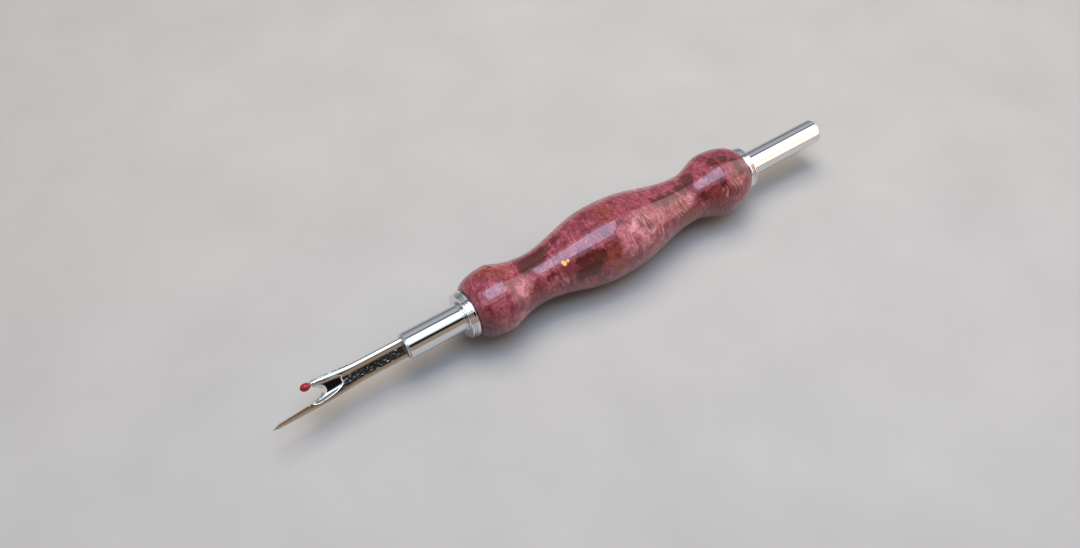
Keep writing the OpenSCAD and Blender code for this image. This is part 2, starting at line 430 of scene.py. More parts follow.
# The hollow: half-width NOSE_W * distance ** NOSE_CURVE from its nose, up to HOLLOW_HALF_W
HOLLOW_V = 0.16
HOLLOW_SLOPE = 0.16
HOLLOW_RUN = 4.4
HOLLOW_HALF_W = 2.45
HOLLOW_FADE = 0.10
HOLLOW_LIFT = 0.4
NOSE_W = 1.25
NOSE_CURVE = 0.34

# The bevel: narrow beside the throat, BEVEL_EXTRA wider at the throat's root
EDGE_T = 0.03
BEVEL_W = 0.32
BEVEL_EXTRA = 0.78
BEVEL_NARROWING = 0.62
BEVEL_RUN_OUT = 0.25
ROOT_EASING = 0.33
EDGE_LIFT_W = 0.3
ON_PRONG = 0.1

# Where the finishes meet
FINISH_BLEND = 0.012
# Painted highlight: a thin bright line along the hollow's nose, for the highlight its crest catches
PAINTED_HIGHLIGHT_H = 0.03
PAINTED_HIGHLIGHT_LEN = 1.4
# Painted reflection: brown along the lower side, for the warm room it reflects there
PAINTED_REFLECTION_V = -1.5
PAINTED_REFLECTION_W = 0.7


def rod_height(v, outer, half_t, drop, on_prong):
    """Round-edged face of the flattened rod; drop is how far the pressed face lies below it.
    The prongs are rounder still: on_prong goes from 0 on the shank to 1 past the throat."""
    inset = np.abs(outer - v)
    scale = np.clip(np.abs(half_t) / SHANK_HALF_T, 1e-4, 1)
    lens = np.clip(1 - inset / (RIM_W * scale * (1 + PRONG_RIM_WIDER * on_prong)), 0, 1)
    corner = np.clip(1 - inset / (CORNER_R * scale), 0, 1)
    lean = np.where(v < 0, LOW_SIDE_LEAN, 1.0)
    fall = RIM_FALL * scale * lens ** 2 * (lean + PRONG_RIM_DEEPER * on_prong)
    face = half_t - drop - fall
    return face * np.sqrt(1 - corner ** 2)


def pressed_face(u, v, reach):
    """Depth of the pressed face: level below its upper edge, running out before the fork."""
    across = smooth((FACE_EDGE_V - v) / FACE_EDGE_W)
    along = 1 - smooth((u / reach - FACE_RUNS_OUT) / FACE_FADE)
    return FACE_DROP * across * along


def hollow_height(u, v, half_t, reach):
    """Floor and walls of the hollow grind; far above the face where there is none."""
    d = np.maximum(u - HOLLOW_FROM * reach, 0)
    half_w = np.minimum(NOSE_W * np.maximum(d, 1e-6) ** NOSE_CURVE, HOLLOW_HALF_W)
    wall = np.maximum(np.abs(v - HOLLOW_V) / half_w - 0.5, 0) / 0.5
    fade = 1 - smooth((u / reach - THROAT) / HOLLOW_FADE)
    depth = HOLLOW_SLOPE * np.minimum(d, HOLLOW_RUN) * (1 - wall ** 2) * fade
    floor = half_t - depth + HOLLOW_LIFT * (1 - fade)
    return np.where(d > 0, floor, half_t + 1.0)


def bevel_height(u, v, inner_gap, half_t, reach):
    """Cutting bevel, which climbs from the edge of the throat and runs out along the prongs."""
    centre_u = THROAT * reach
    back = np.maximum(centre_u - u, 0)
    side = np.abs(v - THROAT_V)
    facing = np.where(back > 0, back / np.sqrt(back ** 2 + side ** 2 + 1e-9), 0)
    on_prong = smooth((u - centre_u) / (ON_PRONG * reach))
    width = (BEVEL_W + BEVEL_EXTRA * facing ** 2) * (1 - BEVEL_NARROWING * on_prong)
    rise = 1.0 - ROOT_EASING * facing ** 2
    past = smooth((u - centre_u) / (BEVEL_RUN_OUT * reach))
    edge = -half_t + EDGE_T + (half_t - 0.1) * past
    rise = np.minimum(rise * (1 - 0.35 * past), 1.7 * half_t)
    return edge, edge + rise * inner_gap / width


def blade_surfaces(u, v, inner, outer, half_t, reach):
    """Front height, back height and the shares of each of the FINISHES."""
    centre_u = THROAT * reach
    arc_gap = np.hypot(np.minimum(u - centre_u, 0), v - THROAT_V) - THROAT_R
    inner_gap = np.maximum(np.where(u > centre_u, np.abs(v - inner), arc_gap), 0)
    on_prong = smooth((u - centre_u) / (ON_PRONG * reach))
    drop = pressed_face(u, v, reach)
    rod = rod_height(v, outer, half_t, drop, on_prong)
    hollow = hollow_height(u, v, half_t, reach)
    edge, bevel = bevel_height(u, v, inner_gap, half_t, reach)
    top = np.minimum(rod, hollow)
    front = np.minimum(top, bevel)
    back = -rod_height(v, outer, half_t, 0, on_prong)
    lift = np.clip(1 - inner_gap / EDGE_LIFT_W, 0, 1) ** 2
    back = np.maximum(back, -half_t + (edge + half_t) * lift)
    front = np.maximum(front, back)
    in_bevel = smooth((top - bevel) / FINISH_BLEND + 0.5)
    in_hollow = smooth((rod - hollow) / FINISH_BLEND + 0.5) * (1 - in_bevel)
    pressed = smooth(drop / FACE_DROP * 2 - 0.6) * (1 - in_hollow) * (1 - in_bevel)
    # Painted highlight along the crest where the hollow meets the rod, fading out past the nose
    past_nose = smooth((u - HOLLOW_FROM * reach - PAINTED_HIGHLIGHT_LEN) / PAINTED_HIGHLIGHT_LEN)
    painted_highlight = np.clip(1 - np.abs(hollow - rod) / PAINTED_HIGHLIGHT_H, 0, 1) * (1 - in_bevel) * (1 - past_nose)
    # Painted reflection: brown on the lower side, reaching higher on the prongs, for the warm room
    # it reflects
    painted_reflection = smooth((PAINTED_REFLECTION_V + PAINTED_REFLECTION_W * on_prong * 2 - v) / PAINTED_REFLECTION_W) * (1 - in_hollow)
    return front, back, (pressed, in_hollow, in_bevel, painted_highlight, painted_reflection * (1 - in_bevel))


# %% Blade grid
CENTRE_COLS = 12
FLAT_COLS = 14
RIM_COLS = 10
SHANK_ROWS = 10
WEB_ROWS = 84
LONG_ROWS = 70
SHORT_ROWS = 24
# The last two shares are painted light: a highlight along the hollow's nose and a reflection along
# the lower side
FINISHES = ("pressed", "hollow", "bevel", "painted_highlight", "painted_reflection")


def prong_columns(inner, outer, half_t):
    """Columns from the inner edge to the outer side, closer together on the round rim."""
    rim = min(CORNER_R * half_t / SHANK_HALF_T, 0.6 * abs(outer - inner))
    side = np.sign(outer - inner + 1e-12)
    rim_start = outer - side * rim
    flat = [inner + (rim_start - inner) * (k / FLAT_COLS) ** 1.25 for k in range(FLAT_COLS)]
    round_edge = [rim_start + side * rim * math.sin(math.pi / 2 * k / RIM_COLS)
                  for k in range(RIM_COLS + 1)]
    return flat + round_edge


def body_row(t, reach):
    """Points (u, v, inner, outer, half-thickness) across the whole blade; t runs 0 to 1 from
    where the fork starts to widen to the throat, and below 0 back along the shank."""
    spread_u, centre_u = SPREAD_FROM * reach, THROAT * reach
    row = []
    bend = float(smooth(t))
    middle = THROAT_V * bend
    side_line = 0.9 + (THROAT_R - 0.9) * bend
    end_u = spread_u + max(t, 0) * (centre_u - spread_u) + min(t, 0) * (spread_u + TANG)
    outer = float(outer_half_width(end_u, reach))
    half_t = SHANK_HALF_T + (FORK_HALF_T - SHANK_HALF_T) * bend
    columns = prong_columns(side_line, outer, half_t)
    for v in reversed(columns):
        row.append((end_u, middle - v if v < outer else -outer))
    arcs = [math.pi / 2 * k / CENTRE_COLS for k in range(-CENTRE_COLS + 1, CENTRE_COLS)]
    for a in arcs:
        arc_u = centre_u - THROAT_R * math.cos(a)
        u = spread_u + t * (arc_u - spread_u) if t > 0 else end_u
        row.append((u, middle + side_line * math.sin(a)))
    for v in columns:
        row.append((end_u, middle + v if v < outer else outer))
    return row, outer, half_t


def blade_mesh(name, reach):
    """Closed mesh of one blade in its own (u, v, w) millimetres, with its finish shares."""
    verts, faces = [], []
    shares = {label: [] for label in FINISHES}

    def add_rows(rows, closed_end):
        """rows: list of arrays (u, v, front, back, finishes). Adds both skins as quads."""
        width = len(rows[0][0])
        base = len(verts)
        for u, v, front, back, finishes in rows:
            for w, present in ((front, 1.0), (back, 0.0)):
                verts.extend(zip(u, v, w))
                for label, share in zip(FINISHES, finishes):
                    shares[label].extend(share * present)
        for r in range(len(rows) - 1):
            for c in range(width - 1):
                for skin in (0, 1):
                    a = base + (2 * r + skin) * width + c
                    b = a + 2 * width
                    faces.append((a, a + 1, b + 1, b))
        if closed_end:
            for c in range(width - 1):
                faces.append((base + c, base + c + 1, base + width + c + 1, base + width + c))

    body_rows = []
    steps = [-1 + k / SHANK_ROWS for k in range(SHANK_ROWS)]
    steps += [1 - (1 - k / WEB_ROWS) ** 1.25 for k in range(WEB_ROWS + 1)]
    for t in steps:
        row, outer, half_t = body_row(t, reach)
        u = np.array([p[0] for p in row])
        v = np.array([p[1] for p in row])
        outer_line = np.sign(v + 1e-9) * outer
        body_rows.append((u, v, *blade_surfaces(u, v, 0 * u, outer_line, half_t, reach)))
    add_rows(body_rows, closed_end=True)

    centre_u = THROAT * reach
    for edges, end_u, count in (
        (long_prong, reach, LONG_ROWS),
        (short_prong, BEAD_AT * reach + PRONG_CLOSE, SHORT_ROWS),
    ):
        prong_rows = []
        for k in range(count + 1):
            at = centre_u + (end_u - centre_u) * k / count
            inner, outer, half_t = (float(x) for x in edges(at, reach))
            v = np.array(prong_columns(inner, outer, half_t))
            u = np.full(len(v), at)
            prong_rows.append((u, v, *blade_surfaces(u, v, inner, outer, half_t, reach)))
        add_rows(prong_rows, closed_end=False)

    mesh = bpy.data.meshes.new(name)
    mesh.from_pydata([tuple(float(x) for x in p) for p in verts], [], faces)
    for label, values in shares.items():
        layer = mesh.attributes.new(label, "FLOAT", "POINT")
        layer.data.foreach_set("value", [float(value) for value in values])
    return mesh


# %% [markdown]
# ## Placing the blades
# The blade is drawn lying flat. In the tool it points forward from the sleeve's mouth and is
# turned about the axis, as the tool happens to be laid down; the stored one lies level.

# %% Blades and safety beads
FRONT_ROLL = math.radians(40)


def blade_frame(mouth_x, roll):
    """Matrix from the blade's (u, v, w) millimetres to the tool's frame in metres."""
    turn = Matrix.Rotation(roll, 4, "X")
    flip = Matrix.Diagonal((-MM, MM, MM, 1))
    return Matrix.Translation((mouth_x, 0, AXIS_Z)) @ turn @ flip


def make_blade(name, node, body, mouth_x, roll):
    reach = (mouth_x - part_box(node)[0].x) / MM
    mesh = blade_mesh(name, reach)
    mesh.transform(blade_frame(mouth_x, roll))
    piece = put_in_scene(name, mesh)
    finish_mesh(piece, sharp_degrees=50)
    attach(piece, body)
    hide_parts(node)
    print(name, "reaches", round(reach, 2), "mm,", len(piece.data.polygons), "faces")
    return piece, reach


def make_bead(name, node, body, mouth_x, roll, reach):
    """Egg-shaped dipped bead: fullest near its front, drawn in to a small skirt at the prong."""
    steps = 28
    profile = []
    for k in range(steps + 1):
        a = math.pi * k / steps
        along = BEAD_AT * reach - BEAD_HALF_LEN * math.cos(a)
        fullness = 1 - 0.10 * math.cos(a) ** 2 - 0.06 * math.cos(a)
        profile.append((along, BEAD_R * math.sin(a) ** 0.9 * fullness if 0 < k < steps else 0))
    bead = lathe(name, profile, 0.0, around=48, axis=(BEAD_V * MM, 0.0))
    bead.data.transform(blade_frame(mouth_x, roll) @ Matrix.Diagonal((1 / MM, 1 / MM, 1 / MM, 1)))
    finish_mesh(bead)
    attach(bead, body)
    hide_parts(node)
    return bead


front_blade, front_reach = make_blade("ripping_blade", "large_blade", "front_tool_body",
                                      front_mouth_x, FRONT_ROLL)
rear_blade, rear_reach = make_blade("stored_blade", "small_blade", "rear_tool_body",
                                    rear_mouth_x, 0.0)
front_bead = make_bead("red_safety_bead", "large_blade_bead", "front_tool_body",
                       front_mouth_x, FRONT_ROLL, front_reach)
rear_bead = make_bead("stored_safety_bead", "small_blade_bead", "rear_tool_body",
                      rear_mouth_x, 0.0, rear_reach)

# %% [markdown]
# ## Node helpers
# Every finish is a node tree. Two small helpers keep the trees readable: one adds a node with
# its settings, one fills an input with a number, a colour or a wire. Values that hold all over a
# surface are set on the shader's own socket; only things that vary come through wires.

# %% Node helpers
def add(tree, kind, **settings):
    """Adds a node; a setting named after an input fills that input, others are properties."""
    node = tree.nodes.new(kind)
    for key, value in settings.items():
        if hasattr(node, key):
            setattr(node, key, value)
        else:
            node.inputs[key.replace("_", " ")].default_value = value
    return node


def fill(tree, socket, value):
    """Gives an input a number or an (r, g, b), or joins another node's output to it."""
    if isinstance(value, (int, float)):
        socket.default_value = value
    elif isinstance(value, tuple):
        socket.default_value = (*value, 1)
    else:
        tree.links.new(value, socket)


def ramp(tree, factor, stops):
    """Colour ramp with (position, (r, g, b)) stops, driven by a socket."""
    node = add(tree, "ShaderNodeValToRGB")
    elements = node.color_ramp.elements
    while len(elements) < len(stops):
        elements.new(0.5)
    for element, (position, colour) in zip(elements, stops):
        element.position = position
        element.color = (*colour, 1)
    fill(tree, node.inputs["Fac"], factor)
    return node.outputs["Color"]


def noise(tree, vector, scale, detail=3.0, rough=0.5, distortion=0.0):
    """Noise texture over the given coordinates; scale is a number or a socket."""
    node = add(tree, "ShaderNodeTexNoise", Detail=detail, Roughness=rough, Distortion=distortion)
    fill(tree, node.inputs["Vector"], vector)
    fill(tree, node.inputs["Scale"], scale)
    return node.outputs["Fac"]


def combine(tree, operation, first, second):
    """Maths on two sockets or numbers."""
    node = add(tree, "ShaderNodeMath", operation=operation)
    for socket, value in zip(node.inputs, (first, second)):
        fill(tree, socket, value)
    return node.outputs[0]


def scaled(tree, value, factor, offset):
    """value * factor + offset."""
    return combine(tree, "ADD", combine(tree, "MULTIPLY", value, factor), offset)


def mix(tree, factor, first, second):
    """Colour mix; each colour is a socket or an (r, g, b)."""
    node = add(tree, "ShaderNodeMix", data_type="RGBA")
    for slot, value in ((0, factor), (6, first), (7, second)):
        fill(tree, node.inputs[slot], value)
    return node.outputs[2]


def stretched(tree, vector, scale):
    """Coordinates stretched by (x, y, z) factors."""
    node = add(tree, "ShaderNodeMapping", Scale=scale)
    fill(tree, node.inputs["Vector"], vector)
    return node.outputs[0]


def new_material(name):
    """Material with its Principled shader; returns (material, tree, shader, object coordinates)."""
    material = bpy.data.materials.new(name)
    material.use_nodes = True
    tree = material.node_tree
    shader = tree.nodes["Principled BSDF"]
    coordinates = tree.nodes.new("ShaderNodeTexCoord").outputs["Object"]
    return material, tree, shader, coordinates


def new_group(name, inputs, outputs):
    """Shader node group with inputs {name: default number or vector} and typed outputs."""
    group = bpy.data.node_groups.new(name, "ShaderNodeTree")
    group.interface.new_socket("Vector", in_out="INPUT", socket_type="NodeSocketVector")
    for label, default in inputs.items():
        kind = "NodeSocketVector" if isinstance(default, tuple) else "NodeSocketFloat"
        socket = group.interface.new_socket(label, in_out="INPUT", socket_type=kind)
        socket.default_value = default
    for label, kind in outputs.items():
        group.interface.new_socket(label, in_out="OUTPUT", socket_type=kind)
    entry = group.nodes.new("NodeGroupInput")
    leave = group.nodes.new("NodeGroupOutput")
    return group, entry, leave


def place_group(tree, group, vector, **values):
    """Puts a group in a material with its own values."""
    node = add(tree, "ShaderNodeGroup", node_tree=group)
    fill(tree, node.inputs["Vector"], vector)
    for label, value in values.items():
        node.inputs[label].default_value = value
    return node


# %% [markdown]
# ## Handling marks, an effect shared by the metals
# Plated tools are never evenly bright. Fingers leave soft smears that change the roughness, and
# use leaves hairline scratches. Both are the same effect at different strengths on the sleeves,
# ferrules, blades and brass, so they are one node group.

# %% Group: handling marks
def build_handling_marks():
    group, entry, leave = new_group(
        "handling_marks",
        {"Smear Size": 120.0, "Scratch Size": 900.0, "Base Roughness": 0.08, "Spread": 0.06},
        {"Roughness": "NodeSocketFloat", "Height": "NodeSocketFloat"},
    )
    vector = entry.outputs["Vector"]
    smear = noise(group, vector, entry.outputs["Smear Size"], detail=4.0, rough=0.6, distortion=0.8)
    scratch = noise(group, stretched(group, vector, (0.12, 1.0, 1.6)),
                    entry.outputs["Scratch Size"], detail=5.0, rough=0.75, distortion=0.3)
    hairline = combine(group, "POWER", scratch, 3.0)
    blended = combine(group, "ADD", smear, hairline)
    spread = combine(group, "MULTIPLY", blended, entry.outputs["Spread"])
    rough = combine(group, "ADD", spread, entry.outputs["Base Roughness"])
    fill(group, leave.inputs["Roughness"], rough)
    fill(group, leave.inputs["Height"], scratch)
    return group


handling_marks = build_handling_marks()
print("group", handling_marks.name, "sockets", len(handling_marks.interface.items_tree))


def wire_bump(tree, shader, height, strength, depth, socket="Normal"):
    """Bump from a height socket into the shader's normal."""
    bump = add(tree, "ShaderNodeBump", Strength=strength, Distance=depth)
    fill(tree, bump.inputs["Height"], height)
    fill(tree, shader.inputs[socket], bump.outputs["Normal"])


# %% [markdown]
# ## Chrome
# Chrome is nearly all reflection, so it needs little colour of its own: a cool grey, very low
# roughness and the handling marks. The sleeves are a touch more marked than the ferrules,
# because they are pulled out and turned round.

# %% Material: chrome
def metal(name, tint, base_roughness, spread, smear, scratch, bump_depth):
    """Bare or plated metal: tint with a slight mottle, handling marks in roughness and bump."""
    material, tree, shader, coordinates = new_material(name)
    mottle = noise(tree, coordinates, smear * 0.7, detail=4.0)
    darker = tuple(c * 0.93 for c in tint)
    colour = mix(tree, mottle, darker, tint)
    fill(tree, shader.inputs["Base Color"], colour)
    marks = place_group(tree, handling_marks, coordinates, **{
        "Smear Size": smear, "Scratch Size": scratch,
        "Base Roughness": base_roughness, "Spread": spread})
    fill(tree, shader.inputs["Roughness"], marks.outputs["Roughness"])
    shader.inputs["Metallic"].default_value = 1.0
    wire_bump(tree, shader, marks.outputs["Height"], 0.25, bump_depth)
    return material


ferrule_chrome = metal("ferrule_chrome", (0.80, 0.81, 0.83), 0.0, 0.03, 160, 1400, 1e-6)
holder_chrome = metal("holder_chrome", (0.80, 0.805, 0.82), 0.0, 0.035, 120, 1100, 1e-6)
plug_metal = metal("plug_metal", (0.62, 0.61, 0.58), 0.18, 0.15, 300, 1600, 6e-6)
liner_brass = metal("liner_brass", (0.72, 0.50, 0.20), 0.22, 0.15, 200, 1300, 6e-6)

# %% [markdown]
# ## Blade steel
# Several finishes meet on one blade. The rod's round edges keep their plating, and a brown
# painted along the lower side stands in for the warm room it reflects there. The pressed face is
# duller, with pits and scratches. The hollow is ground darker, a thin bright line painted along its
# nose stands in for the highlight its crest catches, and the bevel is the brightest of all.
# Painting masks by hand would do, but the blade's own heights already tell which surface is
# which, so each point carries a share of every finish and the material reads them.

# %% Material: blade steel
PLATED = (0.74, 0.71, 0.66)
PRESSED = (0.60, 0.58, 0.54)
GROUND = (0.50, 0.47, 0.44)
BEVELLED = (0.84, 0.84, 0.83)
# Colour of the painted highlight along the hollow's nose
PAINTED_HIGHLIGHT = (0.92, 0.92, 0.90)
# Colour of the painted reflection along the lower side
PAINTED_REFLECTION = (0.50, 0.40, 0.30)


def forked_steel():
    """Plated steel whose colour and roughness follow the finish shares stored on the mesh."""
    material, tree, shader, coordinates = new_material("blade_steel")
    share = {}
    for label in FINISHES:
        share[label] = add(tree, "ShaderNodeAttribute", attribute_name=label).outputs["Fac"]
    colour = mix(tree, share["pressed"], PLATED, PRESSED)
    # Brown painted on the lower side for the reflection of the warm room
    colour = mix(tree, share["painted_reflection"], colour, PAINTED_REFLECTION)
    colour = mix(tree, share["hollow"], colour, GROUND)
    colour = mix(tree, share["bevel"], colour, BEVELLED)
    # Thin bright line painted along the hollow's nose for the highlight on its crest
    colour = mix(tree, share["painted_highlight"], colour, PAINTED_HIGHLIGHT)
    marks = place_group(tree, handling_marks, coordinates, **{
        "Smear Size": 350.0, "Scratch Size": 1700.0, "Base Roughness": 0.0, "Spread": 0.07})
    rough = marks.outputs["Roughness"]
    pit_space = stretched(tree, coordinates, (0.5, 1.0, 1.0))
    pits = noise(tree, pit_space, 2200.0, detail=4.0, rough=0.7)
    above = combine(tree, "SUBTRACT", pits, 0.56)
    fleck = combine(tree, "MAXIMUM", combine(tree, "MULTIPLY", above, 3.0), 0.0)
    worn = combine(tree, "ADD", fleck, 0.09)
    # Roughness that each finish adds to the plated steel's
    for label, extra in (("pressed", worn), ("hollow", 0.06), ("bevel", 0.24), ("painted_highlight", 0.5)):
        rough = combine(tree, "ADD", rough, combine(tree, "MULTIPLY", share[label], extra))
    fill(tree, shader.inputs["Base Color"], colour)
    fill(tree, shader.inputs["Roughness"], rough)
    # The painted highlight is made mostly non-metal, so it shows bright whatever it faces
    metallic = combine(tree, "SUBTRACT", 1.0, combine(tree, "MULTIPLY", share["painted_highlight"], 0.8))
    fill(tree, shader.inputs["Metallic"], metallic)
    height = combine(tree, "MULTIPLY", pits, share["pressed"])
    height = combine(tree, "ADD", height, combine(tree, "MULTIPLY", marks.outputs["Height"], 0.08))
    wire_bump(tree, shader, height, 0.3, 2.5e-5)
    return material


blade_steel = forked_steel()

# %% [markdown]
# ## Small parts
# The bead is dipped plastic, glossy and slightly uneven. The grip rings are black rubber with a
# dry, powdery skin.

# %% Materials: bead and rubber
def dipped_plastic():
    material, tree, shader, coordinates = new_material("bead_plastic")
    cloud = noise(tree, coordinates, 900, detail=3.0)
    colour = ramp(tree, cloud, [(0.35, (0.19, 0.003, 0.005)), (0.7, (0.33, 0.007, 0.010))])
    fill(tree, shader.inputs["Base Color"], colour)
    shader.inputs["Roughness"].default_value = 0.32
    shader.inputs["Specular IOR Level"].default_value = 0.3
    shader.inputs["Coat Weight"].default_value = 0.35
    shader.inputs["Coat Roughness"].default_value = 0.06
    wire_bump(tree, shader, noise(tree, coordinates, 1400, detail=2.0), 0.3, 1.5e-5)
    return material


def dry_rubber():
    material, tree, shader, coordinates = new_material("grip_rubber")
    dust = noise(tree, coordinates, 700, detail=6.0, rough=0.7)
    colour = ramp(tree, dust, [(0.4, (0.012, 0.012, 0.013)), (0.75, (0.05, 0.05, 0.052))])
    fill(tree, shader.inputs["Base Color"], colour)
    fill(tree, shader.inputs["Roughness"], scaled(tree, dust, 0.3, 0.45))
    wire_bump(tree, shader, noise(tree, coordinates, 2500, detail=3.0), 0.4, 1e-5)
    return material


bead_plastic = dipped_plastic()
grip_rubber = dry_rubber()

# %% [markdown]
# ## Dyed burl under lacquer
# Burl has no straight grain. Its fibres swirl round knots, and the dye sinks deep into the soft
# patches and stays rose on the dense ones. Three small effects build it up. One bends the
# coordinates, so that edges and lines wander. One draws a patch with a ragged edge round a
# centre, and serves for the dark, brown and pale areas, the knots and the gold fleck alike. One
# draws the fine figure. The lacquer over them is the shader's coat, thick and very smooth.

# %% Group: wandering coordinates
def build_wander():
    group, entry, leave = new_group(
        "wander", {"Size": 100.0, "Reach": 0.004}, {"Vector": "NodeSocketVector"})
    swirl = add(group, "ShaderNodeTexNoise", Detail=2.0, Roughness=0.5)
    fill(group, swirl.inputs["Vector"], entry.outputs["Vector"])
    fill(group, swirl.inputs["Scale"], entry.outputs["Size"])
    centred = add(group, "ShaderNodeVectorMath", operation="SUBTRACT")
    fill(group, centred.inputs[0], swirl.outputs["Color"])
    centred.inputs[1].default_value = (0.5, 0.5, 0.5)
    bend = add(group, "ShaderNodeVectorMath", operation="SCALE")
    fill(group, bend.inputs[0], centred.outputs[0])
    fill(group, bend.inputs["Scale"], entry.outputs["Reach"])
    total = add(group, "ShaderNodeVectorMath", operation="ADD")
    fill(group, total.inputs[0], entry.outputs["Vector"])
    fill(group, total.inputs[1], bend.outputs[0])
    fill(group, leave.inputs["Vector"], total.outputs[0])
    return group


# %% Group: grown patch
def build_grown_patch():
    group, entry, leave = new_group(
        "grown_patch",
        {"Centre": (0.0, 0.0, 0.0), "Radius": 0.003, "Edge": 0.0006},
        {"Mask": "NodeSocketFloat"},
    )
    away = add(group, "ShaderNodeVectorMath", operation="DISTANCE")
    fill(group, away.inputs[0], entry.outputs["Vector"])
    fill(group, away.inputs[1], entry.outputs["Centre"])
    inside = combine(group, "SUBTRACT", entry.outputs["Radius"], away.outputs["Value"])
    soft = combine(group, "DIVIDE", inside, entry.outputs["Edge"])
    centred = combine(group, "ADD", soft, 0.5)
    above_none = combine(group, "MAXIMUM", centred, 0.0)
    fill(group, leave.inputs["Mask"], combine(group, "MINIMUM", above_none, 1.0))
    return group


# %% Group: burl figure
def build_figure():
    group, entry, leave = new_group(
        "burl_figure",
        {"Streak Size": 1500.0, "Mottle Size": 700.0, "Streak Share": 0.5},
        {"Tone": "NodeSocketFloat", "Lines": "NodeSocketFloat"},
    )
    vector = entry.outputs["Vector"]
    streaks = noise(group, stretched(group, vector, (1.0, 0.07, 0.07)),
                    entry.outputs["Streak Size"], detail=3.0, rough=0.6)
    mottle = noise(group, vector, entry.outputs["Mottle Size"], detail=6.0, rough=0.68,
                   distortion=1.2)
    share = entry.outputs["Streak Share"]
    streak_part = combine(group, "MULTIPLY", streaks, share)
    rest = combine(group, "SUBTRACT", 1.0, share)
    mottle_part = combine(group, "MULTIPLY", mottle, rest)
    fill(group, leave.inputs["Tone"], combine(group, "ADD", streak_part, mottle_part))
    contour = noise(group, vector, 120.0, detail=3.0)
    rings = combine(group, "FRACT", combine(group, "MULTIPLY", contour, 9.0), 0.0)
    crest = combine(group, "ABSOLUTE", combine(group, "SUBTRACT", rings, 0.5), 0.0)
    thin = combine(group, "SUBTRACT", 1.0, combine(group, "MULTIPLY", crest, 5.0))
    fill(group, leave.inputs["Lines"], combine(group, "MAXIMUM", thin, 0.0))
    return group


wander = build_wander()
grown_patch = build_grown_patch()
burl_figure = build_figure()

# %% Where this handle's patches lie
# Each is a centre in millimetres in the tool's frame and a radius
DYE_DARK = [
    ((-12.6, 0.5, 16.8), 2.2), ((-10.1, 0.5, 16.8), 2.4), ((-14.6, -0.6, 16.9), 1.6),
    ((-7.2, 2.1, 16.9), 1.7), ((-3.6, 2.9, 17.5), 1.6), ((-8.9, -5.0, 14.4), 1.2),
    ((-0.9, -5.9, 16.2), 1.7), ((1.8, -6.4, 16.9), 2.1), ((4.3, -7.1, 16.8), 1.7),
    ((-1.4, -7.9, 13.4), 2.0), ((1.4, -8.2, 14.4), 2.4), ((24.6, -2.0, 18.6), 1.5),
    ((27.4, -2.2, 17.8), 1.8), ((30.4, -2.2, 17.1), 1.7), ((34.2, -0.9, 16.8), 1.9),
    ((36.9, 0.8, 16.8), 2.1), ((45.5, 0.4, 19.1), 1.4), ((48.3, -0.2, 19.2), 1.3),
    ((51.0, -2.8, 18.2), 1.7), ((51.6, -4.8, 17.0), 1.5), ((39.1, -5.2, 14.6), 1.2),
    ((44.6, -5.4, 16.8), 1.2), ((-29.6, -6.8, 10.0), 2.2), ((-24.0, 6.5, 12.0), 3.0),
    ((20.0, 8.0, 6.0), 5.0), ((-3.0, 7.5, 13.0), 3.0), ((45.0, 6.5, 6.0), 4.0),
]
ORANGE_BROWN = [
    ((-23.3, 3.2, 18.2), 2.2), ((-20.4, 0.8, 18.7), 2.4), ((10.2, 1.2, 20.4), 2.6),
    ((7.1, -8.3, 15.8), 2.6), ((8.8, -9.9, 12.7), 2.4), ((43.1, -6.6, 14.9), 2.4),
    ((33.0, -6.0, 11.0), 4.0), ((5.0, 7.0, 4.0), 5.0),
]
PALE_FIGURE = [
    ((12.6, -6.9, 18.0), 2.4), ((16.4, -6.4, 18.1), 2.6), ((16.9, -8.5, 15.7), 2.6),
    ((12.2, -8.9, 15.4), 2.2), ((23.7, -5.8, 16.9), 2.0), ((20.8, -7.8, 15.7), 1.8),
    ((34.9, -4.5, 15.1), 1.6), ((-17.5, -5.3, 15.6), 2.6), ((-20.5, -7.5, 9.0), 2.6),
]
STREAKED = [
    ((-6.7, -6.1, 13.7), 1.9), ((-4.8, -7.0, 12.6), 2.0), ((19.1, -5.8, 18.2), 2.4),
    ((46.9, -7.3, 15.4), 2.8), ((30.9, -5.0, 15.3), 2.2), ((22.6, -8.3, 13.8), 2.4),
    ((25.0, 6.0, 15.0), 4.0), ((-15.0, 5.0, 7.0), 3.0),
]
KNOTS = [
    ((-25.4, 3.1, 18.1), 0.65), ((-21.9, 3.7, 18.2), 0.55), ((-1.6, 0.7, 18.5), 0.6),
    ((14.0, 6.0, 17.5), 0.7), ((38.5, -3.5, 4.5), 0.8),
]
GOLD_FLECK = [((-5.1, -4.0, 16.4), 0.75), ((-4.1, -4.2, 16.7), 0.7)]

# %% Material: dyed burl
def patch_mask(tree, vector, patches, edge):
    """Highest of the grown patches' masks."""
    mask = None
    for centre, radius in patches:
        patch = place_group(tree, grown_patch, vector, **{
            "Centre": tuple(c * MM for c in centre), "Radius": radius * MM, "Edge": edge * MM})
        found = patch.outputs["Mask"]
        mask = found if mask is None else combine(tree, "MAXIMUM", mask, found)
    return mask


def wandering(tree, vector, size, reach):
    node = place_group(tree, wander, vector, Size=size, Reach=reach * MM)
    return node.outputs["Vector"]


